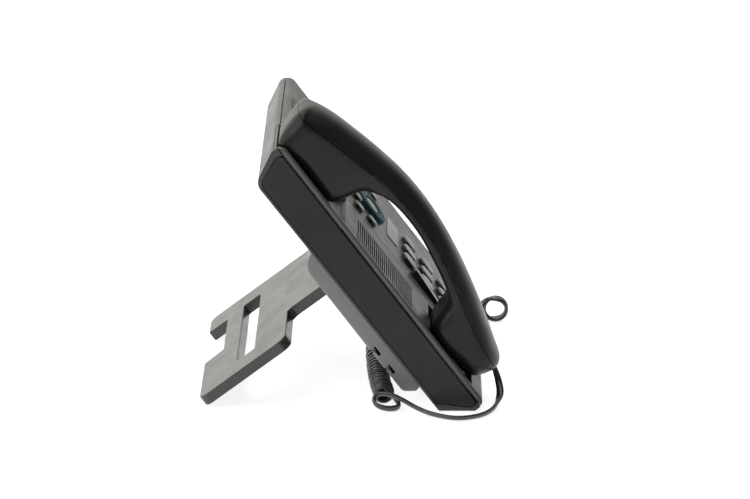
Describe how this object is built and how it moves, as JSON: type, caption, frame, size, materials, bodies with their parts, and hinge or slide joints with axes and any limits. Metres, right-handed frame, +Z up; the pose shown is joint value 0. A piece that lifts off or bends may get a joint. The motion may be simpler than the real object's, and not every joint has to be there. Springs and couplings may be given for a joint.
{
  "type": "desk telephone",
  "caption": "Desk telephone: tilted flat body on a plug-in foot stand, corded handset in a side cradle, keypad, navigation ring and speaker grille.",
  "frame": {"origin": "on the desk, under the middle of the body, stand and handset together, the cord left out", "axes": "+Z up; +Y away from the user towards the stand's foot; +X to the user's right; the handset lies along the -X side"},
  "size_m": [0.2376, 0.211, 0.2069],
  "materials": {
    "black_abs": "fine spark-eroded texture",
    "cradle_abs": "fine spark-eroded texture",
    "cover_abs": "fine spark-eroded texture, silk sheen",
    "trim_abs": "satin, nearly black",
    "housing_abs": "fine texture",
    "stand_abs": "fine texture, satin",
    "handset_abs": "satin, fine texture",
    "screw_steel": "zinc plated",
    "foot_rubber": "matt",
    "window_pane": "polished smoked window",
    "lcd_metal": "satin frame",
    "label_pc": "clear cover over a blank card",
    "lamp_red": "translucent red",
    "board_green": "solder mask",
    "board_parts": "matt",
    "mat_rubber": "matt silicone",
    "speaker_metal": "pressed steel and paper cone",
    "plunger_pom": "slippery acetal",
    "jack_pbt": "moulded",
    "plug_clear": "clear smoked plug body",
    "weight_steel": "pressed steel bar",
    "teal_pc": "satin teal",
    "key_rubber": "satin key caps",
    "cord_pvc": "soft satin PVC"
  },
  "bodies": {
    "base": {"tray_shell": "black_abs", "cradle_panel": "cradle_abs", "front_cover": "cover_abs", "side_trim_left": "trim_abs", "side_trim_right": "trim_abs", "base_screws": "screw_steel", "base_feet": "foot_rubber", "rear_housing": "housing_abs", "display_window": "window_pane", "lcd_module": "lcd_metal", "label_plate": "label_pc", "message_lamp": "lamp_red", "main_board": "board_green", "keypad_mat": "mat_rubber", "loudspeaker": "speaker_metal", "hook_switch": "board_parts", "jack_block": "jack_pbt", "handset_jack": "jack_pbt", "phone_plug": "plug_clear", "volume_pivot": "mat_rubber", "cord_coil": "cord_pvc", "cord_loop": "cord_pvc", "cord_tail_handset": "cord_pvc", "cord_tail_phone": "cord_pvc"},
    "handset": {"handset_outer_shell": "handset_abs", "handset_inner_shell": "handset_abs", "handset_plug": "plug_clear", "receiver_capsule": "speaker_metal", "microphone_capsule": "speaker_metal", "handset_weight": "weight_steel"},
    "stand": {"stand": "stand_abs"},
    "hook": {"hook_plunger": "plunger_pom"},
    "nav_ring": {"navigation_ring": "teal_pc"},
    "ok_key": {"ok_key": "key_rubber"},
    "volume_rocker": {"volume_rocker": "key_rubber"},
    "key_1": {"key_1": "key_rubber"},
    "key_2": {"key_2": "key_rubber"},
    "key_3": {"key_3": "key_rubber"},
    "key_4": {"key_4": "key_rubber"},
    "key_5": {"key_5": "key_rubber"},
    "key_6": {"key_6": "key_rubber"},
    "key_7": {"key_7": "key_rubber"},
    "key_8": {"key_8": "key_rubber"},
    "key_9": {"key_9": "key_rubber"},
    "key_star": {"key_star": "key_rubber"},
    "key_0": {"key_0": "key_rubber"},
    "key_hash": {"key_hash": "key_rubber"},
    "function_key_a": {"function_key_a": "key_rubber"},
    "function_key_b": {"function_key_b": "key_rubber"},
    "function_key_c": {"function_key_c": "key_rubber"},
    "function_key_d": {"function_key_d": "key_rubber"},
    "soft_key_1": {"soft_key_1": "key_rubber"},
    "soft_key_2": {"soft_key_2": "key_rubber"},
    "soft_key_3": {"soft_key_3": "key_rubber"},
    "soft_key_4": {"soft_key_4": "key_rubber"}
  },
  "joints": [
    {"name": "handset_lift", "type": "slide", "parent": "base", "child": "handset", "axis": [0, -0.7986, 0.6018], "range_m": [0, 0.045]},
    {"name": "hook_travel", "type": "slide", "parent": "base", "child": "hook", "axis": [0, -0.7986, 0.6018], "range_m": [0, 0.0027]},
    {"name": "stand_pull", "type": "slide", "parent": "base", "child": "stand", "axis": [0, 0.7986, -0.6018], "range_m": [0, 0.03]},
    {"name": "nav_ring_press", "type": "slide", "parent": "base", "child": "nav_ring", "axis": [0, 0.7986, -0.6018], "range_m": [0, 0.0015], "stiffness_N_per_m": 350},
    {"name": "ok_key_press", "type": "slide", "parent": "base", "child": "ok_key", "axis": [0, 0.7986, -0.6018], "range_m": [0, 0.0015], "stiffness_N_per_m": 350},
    {"name": "volume_rock", "type": "hinge", "parent": "base", "child": "volume_rocker", "pos_m": [-0.0121, -0.04813, 0.05744], "axis": [1, 0, 0], "range_deg": [-3, 3], "stiffness_Nm_per_rad": 0.06},
    {"name": "key_1_press", "type": "slide", "parent": "base", "child": "key_1", "axis": [0, 0.7986, -0.6018], "range_m": [0, 0.0015], "stiffness_N_per_m": 350},
    {"name": "key_2_press", "type": "slide", "parent": "base", "child": "key_2", "axis": [0, 0.7986, -0.6018], "range_m": [0, 0.0015], "stiffness_N_per_m": 350},
    {"name": "key_3_press", "type": "slide", "parent": "base", "child": "key_3", "axis": [0, 0.7986, -0.6018], "range_m": [0, 0.0015], "stiffness_N_per_m": 350},
    {"name": "key_4_press", "type": "slide", "parent": "base", "child": "key_4", "axis": [0, 0.7986, -0.6018], "range_m": [0, 0.0015], "stiffness_N_per_m": 350},
    {"name": "key_5_press", "type": "slide", "parent": "base", "child": "key_5", "axis": [0, 0.7986, -0.6018], "range_m": [0, 0.0015], "stiffness_N_per_m": 350},
    {"name": "key_6_press", "type": "slide", "parent": "base", "child": "key_6", "axis": [0, 0.7986, -0.6018], "range_m": [0, 0.0015], "stiffness_N_per_m": 350},
    {"name": "key_7_press", "type": "slide", "parent": "base", "child": "key_7", "axis": [0, 0.7986, -0.6018], "range_m": [0, 0.0015], "stiffness_N_per_m": 350},
    {"name": "key_8_press", "type": "slide", "parent": "base", "child": "key_8", "axis": [0, 0.7986, -0.6018], "range_m": [0, 0.0015], "stiffness_N_per_m": 350},
    {"name": "key_9_press", "type": "slide", "parent": "base", "child": "key_9", "axis": [0, 0.7986, -0.6018], "range_m": [0, 0.0015], "stiffness_N_per_m": 350},
    {"name": "key_star_press", "type": "slide", "parent": "base", "child": "key_star", "axis": [0, 0.7986, -0.6018], "range_m": [0, 0.0015], "stiffness_N_per_m": 350},
    {"name": "key_0_press", "type": "slide", "parent": "base", "child": "key_0", "axis": [0, 0.7986, -0.6018], "range_m": [0, 0.0015], "stiffness_N_per_m": 350},
    {"name": "key_hash_press", "type": "slide", "parent": "base", "child": "key_hash", "axis": [0, 0.7986, -0.6018], "range_m": [0, 0.0015], "stiffness_N_per_m": 350},
    {"name": "function_key_a_press", "type": "slide", "parent": "base", "child": "function_key_a", "axis": [0, 0.7986, -0.6018], "range_m": [0, 0.0015], "stiffness_N_per_m": 350},
    {"name": "function_key_b_press", "type": "slide", "parent": "base", "child": "function_key_b", "axis": [0, 0.7986, -0.6018], "range_m": [0, 0.0015], "stiffness_N_per_m": 350},
    {"name": "function_key_c_press", "type": "slide", "parent": "base", "child": "function_key_c", "axis": [0, 0.7986, -0.6018], "range_m": [0, 0.0015], "stiffness_N_per_m": 350},
    {"name": "function_key_d_press", "type": "slide", "parent": "base", "child": "function_key_d", "axis": [0, 0.7986, -0.6018], "range_m": [0, 0.0015], "stiffness_N_per_m": 350},
    {"name": "soft_key_1_press", "type": "slide", "parent": "base", "child": "soft_key_1", "axis": [0, 0.7986, -0.6018], "range_m": [0, 0.0015], "stiffness_N_per_m": 350},
    {"name": "soft_key_2_press", "type": "slide", "parent": "base", "child": "soft_key_2", "axis": [0, 0.7986, -0.6018], "range_m": [0, 0.0015], "stiffness_N_per_m": 350},
    {"name": "soft_key_3_press", "type": "slide", "parent": "base", "child": "soft_key_3", "axis": [0, 0.7986, -0.6018], "range_m": [0, 0.0015], "stiffness_N_per_m": 350},
    {"name": "soft_key_4_press", "type": "slide", "parent": "base", "child": "soft_key_4", "axis": [0, 0.7986, -0.6018], "range_m": [0, 0.0015], "stiffness_N_per_m": 350}
  ],
  "couplings": [
    {"joint": "hook_travel", "follows": "handset_lift", "ratio": 0.06}
  ]
}
